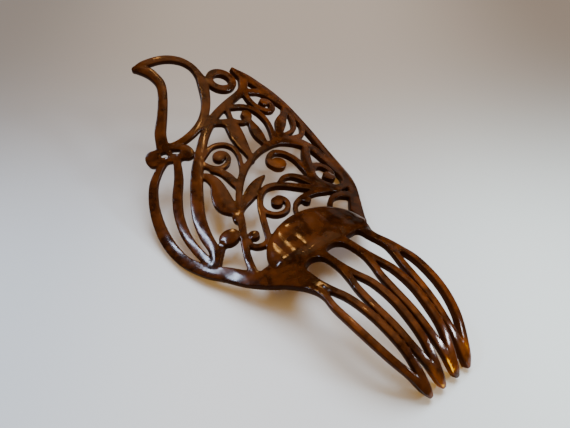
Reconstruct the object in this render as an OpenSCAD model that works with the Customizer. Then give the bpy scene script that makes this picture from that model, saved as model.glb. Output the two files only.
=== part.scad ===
// Pierced hair comb: four forked teeth, a fluted heel, and a crest of bands, a loop and a vine.
// The whole comb is one moulded sheet. It is drawn flat as ribbons, and place() bends the sheet.
//
// The flat drawing has its own grid. Across is measured from the comb's middle line, and along
// from the tooth tips. The heel line of the drawing is at 78. Above it, across, along and width
// are hundredths of the crest field. Below it, along is a share of the tooth length, and across
// and width follow the tooth pitch.

/* [Sheet] */
// Thickness of the moulded sheet
sheet_t = 3.0; // [2.2:0.1:4]
// Bevel along both edges of every bar
edge_bevel = 0.8; // [0.3:0.1:1.2]
// Step by which neighbouring layers of the relief stand proud of each other
relief = 0.15; // [0.05:0.05:0.4]

/* [Crest] */
// Width of the crest field, of which the bands stand a little outside
field_w = 100; // [85:1:115]
// Height of the crest field
field_h = 100; // [85:1:115]

/* [Teeth] */
// Length of a tooth, from its tip to the heel line
tooth_len = 78; // [60:1:95]
// Distance between two teeth at the heel
tooth_pitch = 13; // [11:0.25:15]

/* [Heel] */
// Height that the fluted fan stands up from the sheet at its middle
fan_rise = 2.6; // [1:0.1:5]
// Depth of a flute of the fan
flute_depth = 0.7; // [0.2:0.1:1.2]
// Number of flutes
flute_n = 6; // [5:1:9]

/* [Bend] */
// Radius of the bend across the comb, at the tooth tips
bend_r_tips = 123; // [75:1:130]
// Radius of the bend across the comb, at the top of the loop
bend_r_top = 123; // [110:1:200]
// Tilt of the lying comb about its length, so that both sides touch the table
lie_roll = 1.79; // [-5:0.01:5]
// Tilt of the lying comb about its width, so that the teeth touch the table
lie_pitch = -0.39; // [-5:0.01:5]

/* [Hidden] */

// Heel line and top of the flat drawing
draw_heel = 78;
draw_top = 225;
// Tooth pitch and field of the flat drawing
draw_pitch = 13;
draw_field = 100;
// Where the side ribbons have left the teeth's spacing for the crest's
draw_blend = 95;
tooth_scale = tooth_pitch / draw_pitch;
field_scale = field_w / draw_field;

// Slope of the sheet's middle line, in degrees: along on the drawing, slope
slope_rows = [[0, 53.5], [20, 28.5], [40, 6.5], [60, -7.4], [78, -20.1], [100, 4.1], [120, 0.9],
    [150, 16.8], [225, 29.3]];

// Ribbons: across, along, width

loop_left = [[-31.8, 176, 6.4], [-29, 183.5, 5.8], [-24.4, 190.3, 5.2], [-20.2, 197, 5],
    [-16.8, 203.5, 5], [-15, 209.3, 5], [-15.8, 214.3, 5.1], [-17.8, 218.6, 5.4], [-22.8, 222.6, 2.8]];
loop_right = [[-23.2, 222.7, 2.4], [-18, 223.3, 4], [-10, 223, 4], [-3.7, 221.4, 4], [2, 218, 3.8],
    [5.6, 213, 3.6], [6.7, 207, 4.2], [6, 200.8, 5.8], [1.8, 190.5, 5], [-3.6, 182.8, 4.8],
    [-9.5, 178, 4.4], [-17, 174.9, 3.9], [-25, 173.8, 3.6], [-31, 175, 4]];
ring_row = [16.9, 199.3, 4.2];
ring_r = [6.7, 5.6];
ring_turn = -22;

tie_low = [[-40.5, 171.2, 4.4], [-35, 168.9, 3], [-29, 166.7, 3], [-22.6, 166.4, 4.6]];
tie_high = [[-38, 175, 3], [-31.5, 174.4, 3], [-26.5, 172.3, 3], [-21.8, 169.4, 3]];
tie_link = [[-30.9, 173.5, 2.4], [-30.6, 168, 2.4]];
band_1 = [[-34.6, 168.8, 3.2], [-40.5, 165.4, 3.6], [-46, 160.6, 4.2], [-50.6, 153, 4.6],
    [-54.1, 143, 5.3], [-55.7, 132, 5.8], [-54.8, 120.7, 5.6], [-51.9, 112, 5.6], [-48.2, 105, 6],
    [-42.9, 98.6, 6.6], [-38, 92, 7.2], [-33.2, 86, 8], [-29.8, 81, 7.4], [-27.2, 76, 6],
    [-24.8, 70, 4.6]];
band_2 = [[-29.4, 168, 3.4], [-30, 164.6, 3.8], [-33.9, 156.5, 4.4], [-39.5, 148.5, 4.6],
    [-44, 140, 4.5], [-46.7, 130, 4.5], [-47.2, 120, 4.4], [-46.6, 112, 4.3], [-46.4, 107, 4.4]];
band_3 = [[31.5, 198, 5.5], [28.5, 193.3, 5], [25, 190, 4.6], [20, 187.6, 4.2], [10, 183.9, 4.2],
    [0, 179.1, 4.6], [-9.8, 171.6, 4.8], [-17.2, 163.5, 5.2], [-24.2, 154.8, 6], [-31.2, 143.8, 6.2],
    [-36.7, 133.4, 6.2], [-39.8, 123, 6], [-41, 114, 5.2], [-44, 107, 4]];
edge = [[28.4, 205, 2.2], [29.6, 202.3, 4.4], [31.8, 199.3, 6], [35, 196, 6], [38.6, 191, 5.8],
    [42.2, 186, 5.6], [45, 181, 5.4], [47.4, 175.2, 5.2], [49, 169, 5], [50, 162.5, 5], [50.6, 156, 5],
    [50.8, 149.5, 5], [50.5, 143, 5], [49.8, 136.5, 5], [48.7, 130, 5.2], [47, 123.5, 5.4],
    [44.6, 116.9, 5.4], [41.6, 110.8, 5.2], [37.9, 105.3, 5.4], [33.6, 99.9, 6], [29, 94.5, 6.6],
    [24.5, 88.5, 6.5], [20.8, 82.5, 5.5], [18.8, 76.5, 4], [18.1, 71, 3.4]];
heel_bar = [[-30, 86, 8], [-24, 85.4, 8], [-18, 83.4, 6.5], [0, 83, 6], [15, 84, 6], [24, 88, 6]];

web_left = [[-20.5, 81.5, 5], [-20.4, 76.5, 3.2]];
web_mid = [[-7.4, 81.5, 4], [-7.4, 77.5, 2.4]];

stem = [[-34.5, 91, 4], [-31.9, 98.5, 3.6], [-29, 105.5, 3.4], [-25.4, 112.5, 3.4], [-21.8, 119.5, 3.6],
    [-18.4, 126, 3.2], [-14.3, 132.4, 3.2], [-9.9, 137.8, 3.4], [-5.1, 142.5, 3.5], [-0.2, 145.8, 3.1],
    [5.2, 148.4, 2.9], [11, 150.6, 3.1], [18, 152.2, 3.6], [25, 152.9, 5], [31, 151.3, 5.4],
    [37, 148.6, 6], [41.5, 144.6, 5.6], [43.8, 139.2, 5.6], [44.9, 132, 6], [44.9, 125, 6],
    [43.4, 118.3, 5.4], [39.8, 113.8, 4.8], [35, 111.9, 4.2], [29, 112, 5]];
stem_2 = [[-20.4, 97.5, 3.2], [-17.8, 103, 3.1], [-15.3, 109, 3.1], [-12.7, 115, 3.1],
    [-9.8, 120.7, 3.1], [-6, 125.8, 3.1], [-1.4, 128.3, 3], [3.6, 127.7, 3.1], [8.5, 125, 3.3],
    [13, 121.4, 3.6], [17.5, 118, 4], [22, 115, 5], [27, 112.5, 5]];
trunk = [[38.5, 144.5, 4], [34.8, 140.5, 4.6], [31.4, 135.5, 5], [28.6, 130.5, 5], [26, 125, 4.8],
    [25.2, 119.5, 5.5], [27.2, 114.8, 6], [31, 111.4, 5]];
arch = [[7, 128, 2.4], [11, 130, 2.7], [15.2, 129.5, 3.2], [18.4, 127, 4], [20.8, 123.5, 4.8],
    [23.2, 119.3, 5.4], [26, 115, 5.5]];
strut = [[18.3, 101.6, 2.4], [20.6, 104.2, 2.8], [24.1, 106.5, 3], [28.6, 107, 3.6], [32.6, 105.9, 4.6],
    [36.5, 103.8, 5.4]];
hook = [[1.2, 106.5, 2], [3.6, 110.6, 2.4], [7.6, 112.8, 2.8], [12.5, 113.7, 3.2], [18, 113.8, 3.6],
    [24, 113, 4.5]];
stub_1 = [[-20.9, 125, 2.6], [-23.6, 121.8, 2.6], [-22.8, 118.2, 2.4]];
berry_arm = [[-44, 106.6, 3.2], [-40.4, 109.8, 3], [-37, 113, 3.2], [-34.5, 114, 3]];
top_arm = [[7, 172, 2.8], [8.7, 177, 2.6], [9.8, 183, 3]];

hood = [[-5.4, 142.6, 3], [-3, 147.5, 2.4], [-1.1, 152.5, 2.4], [-0.9, 157.5, 2.4], [-3, 161.3, 2.4],
    [-7, 163.4, 2.4], [-11.5, 163.5, 2.4], [-17, 161, 3]];
scroll_1 = [[-20.6, 159.3, 3], [-18.2, 154.6, 2.8], [-15.6, 151.6, 2.8], [-12.3, 150.5, 2.6],
    [-8.8, 151.3, 2.6], [-6.6, 153.9, 2.6], [-6.9, 157, 2.6], [-9.2, 158.6, 2.6], [-11.6, 157.6, 2.8]];
scroll_2 = [[-10.6, 119, 2.6], [-10, 115, 2.6], [-8, 111.8, 2.6], [-4.8, 110.2, 2.6],
    [-1.2, 110.8, 2.6], [1.3, 113.4, 2.6], [1.9, 116.8, 2.6], [0.3, 119.6, 2.6], [-2.2, 119, 2.8]];
scroll_3 = [[-17.4, 101.6, 2.6], [-21.5, 100.2, 2.6], [-25, 101.4, 2.6], [-26.8, 104.5, 2.6],
    [-25.6, 107.7, 2.6], [-22.8, 108.7, 2.6]];
scroll_4 = [[24, 122, 4], [25.7, 128, 3.8], [26.2, 134, 3.7], [25.4, 140, 3.3], [22.1, 144.7, 3],
    [17.3, 146.8, 3], [12.7, 145.2, 2.9], [10.7, 141.5, 3], [12.5, 138.4, 3.6]];
scroll_5 = [[29, 129, 4], [32.5, 131, 3.6], [36.5, 130.8, 3.6], [39.3, 127.6, 3.4], [38.6, 123.7, 3.3],
    [36, 121.6, 3.4]];
scroll_6 = [[10.5, 182.5, 3.2], [14.3, 181.3, 3], [17.9, 180.5, 3], [21.7, 178.7, 3.1],
    [24.9, 175.4, 3.2], [26.7, 170.8, 3.3], [27, 166, 3.1], [25.9, 161.2, 3.1], [24.3, 157, 3.2],
    [23, 153, 4]];
curl_6 = [[8, 174, 2.6], [10.8, 171.6, 2.8], [14, 170.5, 2.8], [17.3, 171.6, 3]];
scroll_7 = [[25.5, 190, 3.6], [31, 188.2, 3.6], [35, 187.5, 3.8], [38.5, 185.2, 3.6], [42, 181, 3.6],
    [46, 176, 4]];
curl_7 = [[26, 188.5, 3.2], [25.9, 183, 3.3], [27.2, 178.4, 3.3], [30.1, 175, 3.3], [33.6, 173.5, 3.3],
    [36.8, 174.3, 3.2], [38, 177.1, 3], [37, 180, 2.9], [34.2, 180.8, 3.1]];

strand = [[-17.3, 151.8, 3], [-14.4, 148.6, 3.6], [-12.7, 144.4, 4.2], [-12.1, 140, 4.2],
    [-11.7, 135.4, 3]];
leaf_left = [[-20.2, 123.8, 3], [-22.2, 128.3, 7.4], [-22.9, 132.8, 9.8], [-21.6, 138, 8.8],
    [-20.2, 143, 6.4], [-20.5, 147, 5.2], [-21.9, 150, 3.8], [-24, 151.8, 1.4]];
leaf_right = [[-20.2, 123.6, 2.7], [-15.4, 126, 3.5], [-11.2, 128.4, 5.7], [-7.4, 130.6, 6.5],
    [-3.9, 132.8, 5.3], [-0.6, 134.5, 3.4], [2.9, 135.6, 1.3]];
leaf_tall = [[3.8, 147.5, 3], [4.2, 152.3, 4], [4.5, 158, 6.4], [5.1, 164, 8], [5.8, 168.8, 7.8],
    [5.5, 172.2, 6.2], [3, 174.4, 4], [-1.5, 176.2, 3.4]];
pod = [[17, 172, 2.4], [17.2, 168, 3.8], [16.9, 164.5, 5.6], [16.6, 160.5, 6], [16.6, 157, 4.6],
    [16.8, 152.6, 2.8]];
flame = [[25, 154.6, 3.4], [31, 159.6, 4.6], [35.2, 164.1, 6.4], [38.8, 167, 5.2], [42.6, 169.7, 4],
    [46.5, 173.5, 4]];
sickle_1 = [[28, 154.6, 3], [34.8, 156.3, 2.5], [38.9, 157.4, 2.8], [42.6, 160.2, 2.9],
    [45.3, 164.8, 3.2], [47.5, 170.5, 3.5]];
sickle_2 = [[28, 152.6, 3], [36, 152.3, 3.4], [41.5, 152.9, 3.2], [45.8, 155.6, 2.8], [50, 161, 3]];

// Round pads at the scroll eyes, the berry and the bow: across, along, radius across, radius along
pads = [[-10.7, 156.6, 3.2, 3], [-2.4, 117.4, 2.9, 3], [-22.5, 107.2, 2.5, 2.3],
    [14.6, 139.2, 4.3, 3.9], [34.6, 121.4, 3.4, 3.4], [17.6, 174, 2.9, 3.2], [33.8, 179.6, 2.7, 2.4],
    [10.6, 110.6, 2.2, 2.1], [-32, 114.1, 5, 4.3], [-39, 172.6, 4, 4.4], [-23, 166.8, 3.4, 3.7],
    [-22.9, 120.6, 2.2, 2.4]];

// A tooth: along, middle and half spread of the inner teeth, the same of the outer teeth, bar width,
// and how far the whole tooth leans to the side there
tooth_rows = [[0.4, 3.8, 0.4, 10.7, 0.4, 1.6, 0], [4, 4, 0.8, 11.5, 0.9, 2.9, 0],
    [11, 4.4, 1.6, 12.8, 1.8, 3.2, 0], [20, 5, 2.9, 14.7, 3.3, 3.1, -0.1],
    [30, 5.4, 3.5, 16.4, 4, 3.1, -0.3], [40, 5.8, 4, 17.6, 4.1, 3.1, -0.5],
    [50, 6.1, 3.4, 18.7, 3.5, 3, -0.7], [57, 6.4, 1.8, 19.3, 2, 2.9, -0.9],
    [64, 6.5, 0.7, 19.5, 0.8, 2.6, -0.9], [71.5, 6.5, 0.4, 19.5, 0.5, 2.6, -0.8]];
// The round top of a gap, from its middle: across, along, width
gap_top = [[-6.3, 76.6, 2.8], [-3.9, 79.6, 2.8], [-0.7, 80.6, 2.8], [2.4, 79.6, 2.8], [4.8, 76.6, 2.8]];
// The solid roots of the two outer teeth
root_near = [[-20.8, 57.8, 2.4], [-21.8, 63, 4.4], [-23.4, 69, 6.2], [-25.2, 75.5, 9.2],
    [-26.6, 81, 10]];
root_far = [[18.8, 57, 2.4], [18.5, 63, 3.2], [17.9, 69, 3], [18.2, 75.5, 4], [20.8, 82, 6]];
// Where the outermost bars leave the tooth table, and how each then runs up into the crest's side
side_from = 60;
side_near = [[-22.9, 63, 3.4], [-24.9, 70, 4.6]];
side_far = [[19.4, 64, 3], [18.1, 71, 3.2]];
// How much higher each gap runs up into the heel
gap_lift = [-1, 0.7, 3];

// Middle of the fan, and its half-axes across, up and down from there
fan_at = [-0.6, 86];
fan_r = [27, 19.8, 6];
fan_lines = flute_n * 4;
fan_rows = 5;

// Flat drawing to flat millimetres

function mix(a, b, t) = a + (b - a) * t;
function clamp01(t) = min(max(t, 0), 1);
function along_mm(y) = y < draw_heel ? y / draw_heel * tooth_len
    : tooth_len + (y - draw_heel) * field_h / draw_field;
function blend_share(y) = clamp01((y - draw_heel) / (draw_blend - draw_heel));
function across_scale(y) = mix(tooth_scale, field_scale, blend_share(y));
function to_mm(r) = [r[0] * across_scale(r[1]), along_mm(r[1]), r[2] * across_scale(r[1])];

// The bend: the middle line is a chain of arcs, found from its slopes

knots = [for (r = slope_rows) [along_mm(r[0]), r[1]]];
function arc_step(k, s) =
    let (a = knots[k], b = knots[k + 1], turn = (b[1] - a[1]) / (b[0] - a[0]), t = a[1] + turn * (s - a[0]))
    abs(turn) < 1e-6 ? (s - a[0]) * [cos(t), sin(t)]
    : [sin(t) - sin(a[1]), cos(a[1]) - cos(t)] / turn * 180 / PI;
function knot_sum(k) = k == 0 ? [0, 0] : knot_sum(k - 1) + arc_step(k - 1, knots[k][0]);
knot_at = [for (k = [0:len(knots) - 1]) knot_sum(k)];
function knot_of(s, k = 0) = k >= len(knots) - 2 || s < knots[k + 1][0] ? k : knot_of(s, k + 1);
function slope_at(k, s) =
    mix(knots[k][1], knots[k + 1][1], (s - knots[k][0]) / (knots[k + 1][0] - knots[k][0]));
bend_end = along_mm(draw_top);

// A point of the bent sheet, from flat millimetres and the height above the face
function bend(u, s, w) =
    let (k = knot_of(s), p = knot_at[k] + arc_step(k, s), t = slope_at(k, s),
        r = mix(bend_r_tips, bend_r_top, s / bend_end), a = u / r * 180 / PI,
        drop = r - (r + w) * cos(a))
    [(r + w) * sin(a), p[0] + sin(t) * drop, p[1] - cos(t) * drop];

// The comb as it lies
function lie(p) =
    let (x = cos(lie_roll) * p[0] + sin(lie_roll) * p[2], z = cos(lie_roll) * p[2] - sin(lie_roll) * p[0])
    [x, cos(lie_pitch) * p[1] - sin(lie_pitch) * z, sin(lie_pitch) * p[1] + cos(lie_pitch) * z];

// A smooth row through the given rows, with n steps from each to the next

function row(rows, i) = i < 0 ? 2 * rows[0] - rows[1]
    : i >= len(rows) ? 2 * rows[len(rows) - 1] - rows[len(rows) - 2] : rows[i];
function curve(a, b, c, d, t) =
    (2 * b + (c - a) * t + (2 * a - 5 * b + 4 * c - d) * t * t + (3 * b - a - 3 * c + d) * t * t * t) / 2;
function smooth(rows, n) = [for (i = [0:len(rows) - 2]) for (j = [0:(i == len(rows) - 2 ? n : n - 1)])
    curve(row(rows, i - 1), row(rows, i), row(rows, i + 1), row(rows, i + 2), j / n)];

// The six corners of a bar's section at one station: the face is at the height top
function section(c, side, top) =
    let (h = c[2] / 2, b = min(edge_bevel, h * 0.6), low = -sheet_t,
        mid = (top + low) / 2,
        corners = [[-h, mid], [b - h, top], [h - b, top], [h, mid], [h - b, low], [b - h, low]])
    [for (q = corners) lie(bend(c[0] + side[0] * q[0], c[1] + side[1] * q[0], q[1]))];
function side_at(line, i, closed) =
    let (n = len(line), a = line[closed ? (i + n - 1) % n : max(i - 1, 0)],
        b = line[closed ? (i + 1) % n : min(i + 1, n - 1)], d = [b[0] - a[0], b[1] - a[1]])
    [-d[1], d[0]] / norm(d);
function bar_points(line, top, closed = false) =
    [for (i = [0:len(line) - 1]) each section(line[i], side_at(line, i, closed), top)];

// Solids

// A bar swept along a line of flat millimetres
module bar(line, top = 0, closed = false) {
    n = len(line);
    runs = closed ? n : n - 1;
    walls = [for (i = [0:runs - 1]) for (k = [0:5])
        [i * 6 + k, i * 6 + (k + 1) % 6, (i + 1) % n * 6 + (k + 1) % 6, (i + 1) % n * 6 + k]];
    ends = closed ? [] : [[5, 4, 3, 2, 1, 0], [for (k = [0:5]) (n - 1) * 6 + k]];
    polyhedron(points = bar_points(line, top, closed), faces = concat(walls, ends), convexity = 6);
}

// A bar through drawn rows. layer lifts its face by steps of the relief.
module ribbon(rows, steps = 1, layer = 0) {
    bar(smooth([for (r = rows) to_mm(r)], steps), layer * relief);
}

// A round pad of the drawing's across and along radii
module pad(p, layer = 0) {
    c = to_mm([p[0], p[1], 1]);
    r = [p[2], p[3]] * across_scale(p[1]);
    rim = [for (a = [0:30:330]) [cos(a) * r[0], sin(a) * r[1]]];
    b = edge_bevel;
    top = layer * relief;
    levels = [[1, (top - sheet_t) / 2], [1 - b / r[0], top], [1 - b / r[0], -sheet_t]];
    points = [for (l = levels) for (q = rim) lie(bend(c[0] + q[0] * l[0], c[1] + q[1] * l[0], l[1]))];
    hull() polyhedron(points, [for (k = [0:11]) [k, (k + 1) % 12, 12 + (k + 1) % 12, 12 + k]]);
}

// Teeth

// One bar of a tooth, tip to heel: side -1 is its left bar and 1 its right one
function tooth_bar(tooth, side) =
    let (outer = abs(tooth) > 1, sign = tooth > 0 ? 1 : -1)
    [for (r = tooth_rows) [sign * (outer ? r[3] : r[1]) + side * (outer ? r[4] : r[2]) + r[6], r[0], r[5]]];
function reversed(rows) = [for (i = [len(rows) - 1:-1:0]) rows[i]];
// The two bars about one gap, joined over its round top
function gap_arch(g) = [for (r = gap_top) [g * draw_pitch + r[0], r[1] + gap_lift[g + 1], r[2]]];
function gap_line(g) = concat(tooth_bar(g - 0.5, 1), gap_arch(g), reversed(tooth_bar(g + 0.5, -1)));

// The outer bar of an outer tooth, which leaves the tooth table at side_from
function side_low(side) = [for (r = tooth_bar(side * 1.5, side)) if (r[1] < side_from) r];

module teeth() {
    for (g = [-1:1]) ribbon(gap_line(g), 1, g == 0 ? 1 : 2);
    ribbon(concat(side_low(-1), side_near), 1, 3);
    ribbon(concat(side_low(1), side_far), 1, 3);
    ribbon(root_near, 1, 4);
    ribbon(root_far, 1, 4);
}

// Heel

// A point of the fan: x runs across it, and t up each of its lines, both as shares
function fan_side(x) = sqrt(max(1 - x * x, 0));
function fan_point(x, t) =
    to_mm([fan_at[0] + x * fan_r[0], fan_at[1] + mix(-fan_r[2], fan_r[1], t) * fan_side(x), 1]);
function flute(x) = 0.5 + 0.5 * cos(x * flute_n * 180);
function fan_height(x, t) =
    let (swell = fan_side(x) * sqrt(max(1 - pow(2 * t - 1, 4), 0)))
    (fan_rise - flute_depth * flute(x)) * swell + relief;

module fan() {
    m = fan_lines;
    k = fan_rows;
    xs = [for (i = [0:m]) 0.998 * (2 * i / m - 1)];
    flat = [for (x = xs) for (j = [0:k]) let (c = fan_point(x, j / k)) [c[0], c[1], fan_height(x, j / k)]];
    top = [for (c = flat) lie(bend(c[0], c[1], c[2]))];
    low = [for (c = flat) lie(bend(c[0], c[1], 0.1 - sheet_t))];
    n = len(top);
    cells = [for (i = [0:m - 1]) for (j = [0:k - 1]) let (a = i * (k + 1) + j)
        [a, a + 1, a + k + 2, a + k + 1]];
    floors = [for (c = cells) [n + c[3], n + c[2], n + c[1], n + c[0]]];
    lower = [for (i = [0:m - 1]) let (a = i * (k + 1)) [a, a + k + 1, n + a + k + 1, n + a]];
    upper = [for (i = [0:m - 1]) let (a = i * (k + 1) + k) [a + k + 1, a, n + a, n + a + k + 1]];
    near = [for (j = [0:k - 1]) [j + 1, j, n + j, n + j + 1]];
    far = [for (j = [0:k - 1]) let (a = m * (k + 1) + j) [a, a + 1, n + a + 1, n + a]];
    faces = concat(cells, floors, lower, upper, near, far);
    polyhedron(points = concat(top, low), faces = faces, convexity = 6);
}

module heel() {
    fan();
    ribbon(heel_bar, 1, 0.5);
    ribbon(web_left, 1, 0);
    ribbon(web_mid, 1, 0);
}

// Crest

module bands() {
    ribbon(band_1, 1, 0);
    ribbon(band_2, 1, 1);
    ribbon(band_3, 1, 2);
    ribbon(edge, 1, 1.5);
}

// A point of the ring's middle line, at an angle round it
function ring_point(a) =
    let (c = to_mm(ring_row), s = across_scale(ring_row[1]), x = ring_r[0] * s * cos(a),
        y = ring_r[1] * s * sin(a))
    [c[0] + x * cos(ring_turn) - y * sin(ring_turn), c[1] + x * sin(ring_turn) + y * cos(ring_turn), c[2]];

module loop() {
    ribbon(loop_left, 1, 2);
    ribbon(loop_right, 1, 1);
    bar([for (a = [0:22.5:337.5]) ring_point(a)], 3 * relief, true);
}

module bow() {
    ribbon(tie_low, 1, 4);
    ribbon(tie_high, 1, 3);
    ribbon(tie_link, 1, 3);
}

module vine() {
    ribbon(stem, 1, 1);
    ribbon(stem_2, 1, 2);
    ribbon(trunk, 1, 3);
    ribbon(arch, 1, 0);
    ribbon(strut, 1, 0);
    ribbon(hook, 1, 0.5);
    ribbon(stub_1, 1, 0);
    ribbon(berry_arm, 1, 0);
    ribbon(top_arm, 1, 0);
}

module scrolls() {
    ribbon(hood, 1, 0);
    ribbon(scroll_1, 2, 0.5);
    ribbon(scroll_2, 2, 0.5);
    ribbon(scroll_3, 2, 0.5);
    ribbon(scroll_4, 1, 0.5);
    ribbon(scroll_5, 2, 0.5);
    ribbon(scroll_6, 1, 0.5);
    ribbon(curl_6, 1, 0);
    ribbon(scroll_7, 1, 0.5);
    ribbon(curl_7, 1, 0);
}

module leaves() {
    ribbon(strand, 1, 0);
    ribbon(leaf_left, 1, 0);
    ribbon(leaf_right, 1, 0);
    ribbon(leaf_tall, 1, 0);
    ribbon(pod, 1, 0);
    ribbon(flame, 1, 0);
    ribbon(sickle_1, 1, 0);
    ribbon(sickle_2, 1, 0.5);
    for (p = pads) pad(p, 3);
}

// The origin is at the middle of the lying comb's length and width, on the table
outline = [for (r = [band_1, edge, loop_left, loop_right, gap_line(-1), gap_line(0), gap_line(1)])
    each bar_points([for (q = r) to_mm(q)], relief)];
function middle(k) = (min([for (p = outline) p[k]]) + max([for (p = outline) p[k]])) / 2;
origin = [middle(0), middle(1), min([for (p = outline) p[2]])];

module comb() {
    color("saddlebrown") translate(-origin) union() {
        teeth();
        heel();
        bands();
        loop();
        bow();
        vine();
        scrolls();
        leaves();
    }
}

comb();
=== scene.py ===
# %% [markdown]
# # A pierced back comb in brown shell plastic
# The object is a large hair comb, moulded in one piece of glossy brown plastic that imitates
# tortoiseshell. It has four forked teeth, a fluted fan at the heel, and a crest cut through with
# bands, a loop and a scrolled vine. It lies face up, arched over the table like a bridge.
#
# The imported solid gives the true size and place. Its faces are flat, so it is dressed with a
# smooth mesh of the same comb: drawn flat in millimetres first, given height, and bent last.

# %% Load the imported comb
import math
import bpy
import numpy as np
from mathutils import Matrix, Vector
from mathutils.geometry import delaunay_2d_cdt


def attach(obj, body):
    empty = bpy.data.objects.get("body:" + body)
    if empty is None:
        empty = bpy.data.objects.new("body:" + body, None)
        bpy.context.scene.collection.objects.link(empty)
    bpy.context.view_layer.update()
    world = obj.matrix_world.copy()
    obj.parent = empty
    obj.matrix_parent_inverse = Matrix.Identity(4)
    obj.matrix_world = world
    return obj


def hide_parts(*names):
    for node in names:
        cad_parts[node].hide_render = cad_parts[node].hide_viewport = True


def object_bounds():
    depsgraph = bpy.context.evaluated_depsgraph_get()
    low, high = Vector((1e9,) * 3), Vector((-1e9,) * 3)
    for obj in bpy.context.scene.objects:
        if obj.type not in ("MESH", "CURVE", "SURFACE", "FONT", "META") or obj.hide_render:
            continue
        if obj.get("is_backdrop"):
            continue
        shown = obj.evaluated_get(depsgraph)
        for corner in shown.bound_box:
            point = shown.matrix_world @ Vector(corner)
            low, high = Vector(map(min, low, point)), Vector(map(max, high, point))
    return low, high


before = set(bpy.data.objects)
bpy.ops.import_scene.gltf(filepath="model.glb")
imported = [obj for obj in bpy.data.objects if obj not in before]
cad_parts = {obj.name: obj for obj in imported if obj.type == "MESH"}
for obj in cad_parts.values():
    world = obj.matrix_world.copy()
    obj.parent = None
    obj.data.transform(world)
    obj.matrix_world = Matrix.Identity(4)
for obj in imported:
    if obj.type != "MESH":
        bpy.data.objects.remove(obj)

MM = 0.001
cad_low, cad_high = (np.array(corner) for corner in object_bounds())
print("Box of the solid comb, mm:", ((cad_high - cad_low) / MM).round(1))

# %% [markdown]
# ## The flat drawing
# A moulder cuts such a comb's pattern flat and bends the warm sheet afterwards, so every bar is
# described here on the flat sheet: its middle line and its width. Each row holds three lengths in
# millimetres: across from the comb's middle line, along from the tooth tips, and the bar's width.
# The number before the rows is a step: where bars meet, a bar with a higher step stands a little
# prouder. The points are few, and a smooth curve is put through them later.

# %% Bands, edge, loop and tie
STEP = 0.15
BANDS = {
    "band_1": (0, [(-34.6, 168.8, 3.2), (-40.5, 165.4, 3.6), (-46, 160.6, 4.2), (-50.6, 153, 4.6),
        (-54.1, 143, 5.3), (-55.7, 132, 5.8), (-54.8, 120.7, 5.6), (-51.9, 112, 5.6), (-48.2, 105, 6),
        (-42.9, 98.6, 6.6), (-38, 92, 7.2), (-33.2, 86, 8), (-29.8, 81, 7.4), (-27.2, 76, 6),
        (-24.8, 70, 4.6)]),
    "band_2": (1, [(-29.4, 168, 3.4), (-30, 164.6, 3.8), (-33.9, 156.5, 4.4), (-39.5, 148.5, 4.6),
        (-44, 140, 4.5), (-46.7, 130, 4.5), (-47.2, 120, 4.4), (-46.6, 112, 4.3), (-46.4, 107, 4.4)]),
    "band_3": (2, [(31.5, 198, 5.5), (28.5, 193.3, 5), (25, 190, 4.6), (20, 187.6, 4.2), (10, 183.9, 4.2),
        (0, 179.1, 4.6), (-9.8, 171.6, 4.8), (-17.2, 163.5, 5.2), (-24.2, 154.8, 6), (-31.2, 143.8, 6.2),
        (-36.7, 133.4, 6.2), (-39.8, 123, 6), (-41, 114, 5.2), (-44, 107, 4)]),
    "edge": (1.5, [(28.4, 205, 2.2), (29.6, 202.3, 4.4), (31.8, 199.3, 6), (35, 196, 6), (38.6, 191, 5.8),
        (42.2, 186, 5.6), (45, 181, 5.4), (47.4, 175.2, 5.2), (49, 169, 5), (50, 162.5, 5),
        (50.6, 156, 5), (50.8, 149.5, 5), (50.5, 143, 5), (49.8, 136.5, 5), (48.7, 130, 5.2),
        (47, 123.5, 5.4), (44.6, 116.9, 5.4), (41.6, 110.8, 5.2), (37.9, 105.3, 5.4), (33.6, 99.9, 6),
        (29, 94.5, 6.6), (24.5, 88.5, 6.5), (20.8, 82.5, 5.5), (18.8, 76.5, 4), (18.1, 71, 3.4)]),
    "heel_bar": (0.5, [(-30, 86, 8), (-24, 85.4, 8), (-18, 83.4, 6.5), (0, 83, 6), (15, 84, 6),
        (24, 88, 6)]),
    "root_near": (0, [(-20.8, 57.8, 2.4), (-21.8, 63, 4.4), (-23.4, 69, 6.2), (-25.2, 75.5, 9.2),
        (-26.6, 81, 10)]),
    "root_far": (0, [(18.8, 57, 2.4), (18.5, 63, 3.2), (17.9, 69, 3), (18.2, 75.5, 4), (20.8, 82, 6)]),
    "loop_left": (2, [(-31.8, 176, 6.4), (-29, 183.5, 5.8), (-24.4, 190.3, 5.2), (-20.2, 197, 5),
        (-16.8, 203.5, 5), (-15, 209.3, 5), (-15.8, 214.3, 5.1), (-17.8, 218.6, 5.4),
        (-22.8, 222.6, 2.8)]),
    "loop_right": (1, [(-23.2, 222.7, 2.4), (-18, 223.3, 4), (-10, 223, 4), (-3.7, 221.4, 4),
        (2, 218, 3.8), (5.6, 213, 3.6), (6.7, 207, 4.2), (6, 200.8, 5.8), (1.8, 190.5, 5),
        (-3.6, 182.8, 4.8), (-9.5, 178, 4.4), (-17, 174.9, 3.9), (-25, 173.8, 3.6), (-31, 175, 4)]),
    "tie_low": (4, [(-40.5, 171.2, 4.4), (-35, 168.9, 3), (-29, 166.7, 3), (-22.6, 166.4, 4.6)]),
    "tie_high": (3, [(-38, 175, 3), (-31.5, 174.4, 3), (-26.5, 172.3, 3), (-21.8, 169.4, 3)]),
    "web_left": (0, [(-20.5, 81.5, 5), (-20.4, 76.5, 3.2)]),
    "web_mid": (0, [(-7.4, 81.5, 4), (-7.4, 77.5, 2.4)]),
    "tie_link": (3, [(-30.9, 173.5, 2.4), (-30.6, 168, 2.4)]),
}
print("Bars of the bands, edge, loop and tie:", len(BANDS))

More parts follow.
